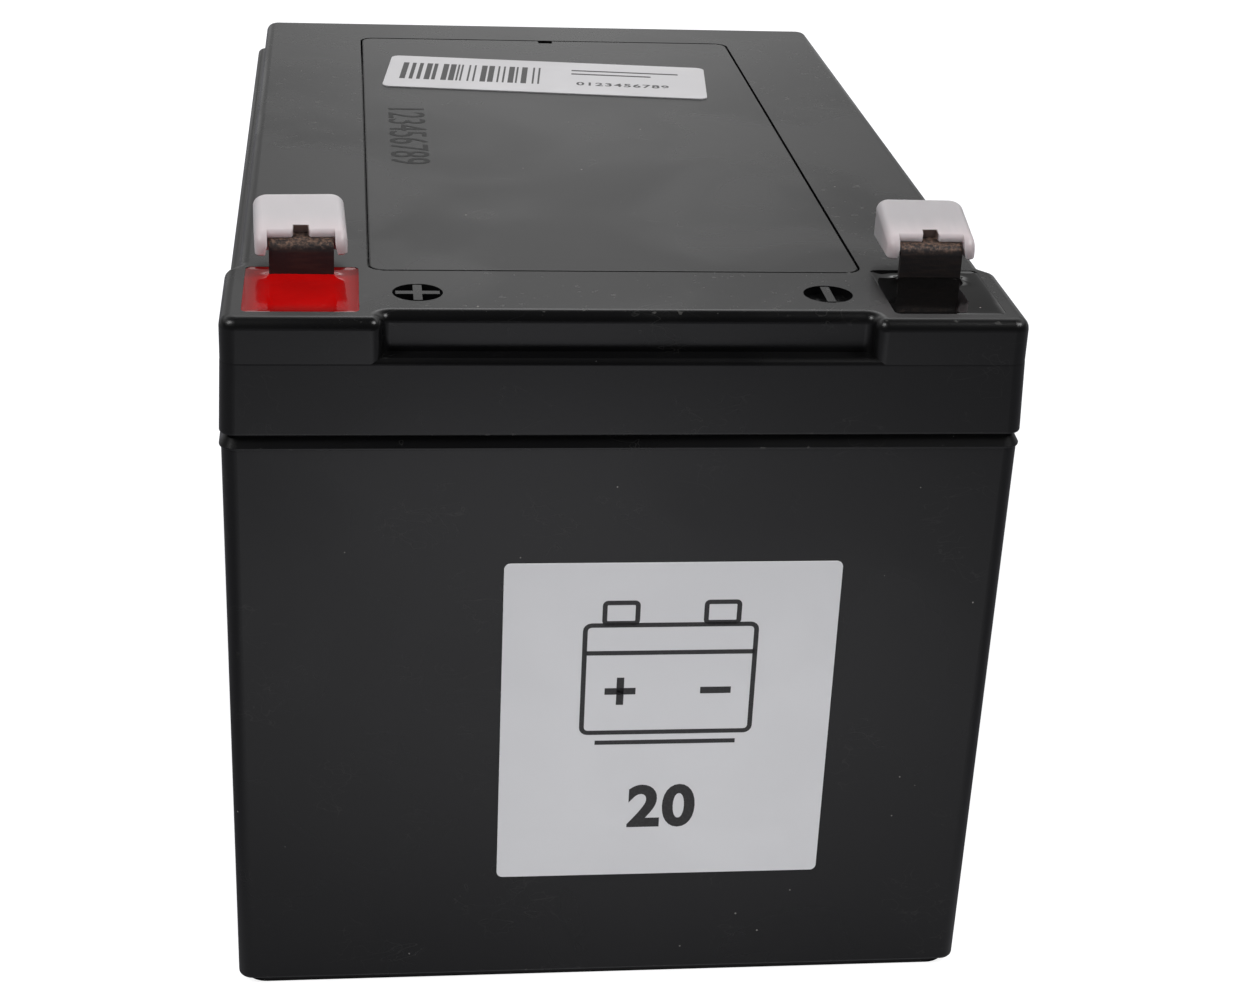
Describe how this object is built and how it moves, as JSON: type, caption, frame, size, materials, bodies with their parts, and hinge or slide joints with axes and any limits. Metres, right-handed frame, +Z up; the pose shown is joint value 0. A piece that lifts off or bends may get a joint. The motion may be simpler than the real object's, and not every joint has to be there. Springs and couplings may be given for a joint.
{
  "type": "sealed lead acid battery",
  "caption": "Sealed block battery with a black case and lid, vent cover, two spade terminals in resin wells, milky push-on terminal caps, plate groups and glass mats inside.",
  "frame": {"origin": "middle of the base, on the surface that the battery stands on", "axes": "+X across the width towards the negative terminal, +Y along the length away from the terminal end, +Z up"},
  "size_m": [0.0992, 0.1518, 0.1025],
  "materials": {
    "case_plastic": "black moulded plastic, satin",
    "lid_plastic": "black moulded plastic, satin with fine scuffs",
    "rubber": "black moulded rubber",
    "terminal_metal": "dark tarnished copper alloy with bright scratches",
    "red_resin": "glossy cast red resin",
    "black_resin": "glossy cast black resin",
    "milky_plastic": "milky translucent soft plastic",
    "label_film": "pale printed film, satin",
    "positive_plate": "brown pasted lead plate and cast lead strap",
    "negative_plate": "grey pasted lead plate and cast lead strap",
    "glass_mat": "white felted glass fibre, damp"
  },
  "bodies": {
    "root": {"container": "case_plastic", "lid": "lid_plastic", "vent_cover": "lid_plastic", "positive_seal_ring": "rubber", "negative_seal_ring": "rubber", "positive_terminal": "terminal_metal", "negative_terminal": "terminal_metal", "positive_resin": "red_resin", "negative_resin": "black_resin", "positive_terminal_cap": "milky_plastic", "negative_terminal_cap": "milky_plastic", "front_label": "label_film", "code_label": "label_film", "vent_valve_1": "rubber", "positive_plates_1": "positive_plate", "negative_plates_1": "negative_plate", "glass_mats_1": "glass_mat", "vent_valve_2": "rubber", "positive_plates_2": "positive_plate", "negative_plates_2": "negative_plate", "glass_mats_2": "glass_mat", "vent_valve_3": "rubber", "positive_plates_3": "positive_plate", "negative_plates_3": "negative_plate", "glass_mats_3": "glass_mat", "vent_valve_4": "rubber", "positive_plates_4": "positive_plate", "negative_plates_4": "negative_plate", "glass_mats_4": "glass_mat", "vent_valve_5": "rubber", "positive_plates_5": "positive_plate", "negative_plates_5": "negative_plate", "glass_mats_5": "glass_mat", "vent_valve_6": "rubber", "positive_plates_6": "positive_plate", "negative_plates_6": "negative_plate", "glass_mats_6": "glass_mat"}
  },
  "joints": []
}
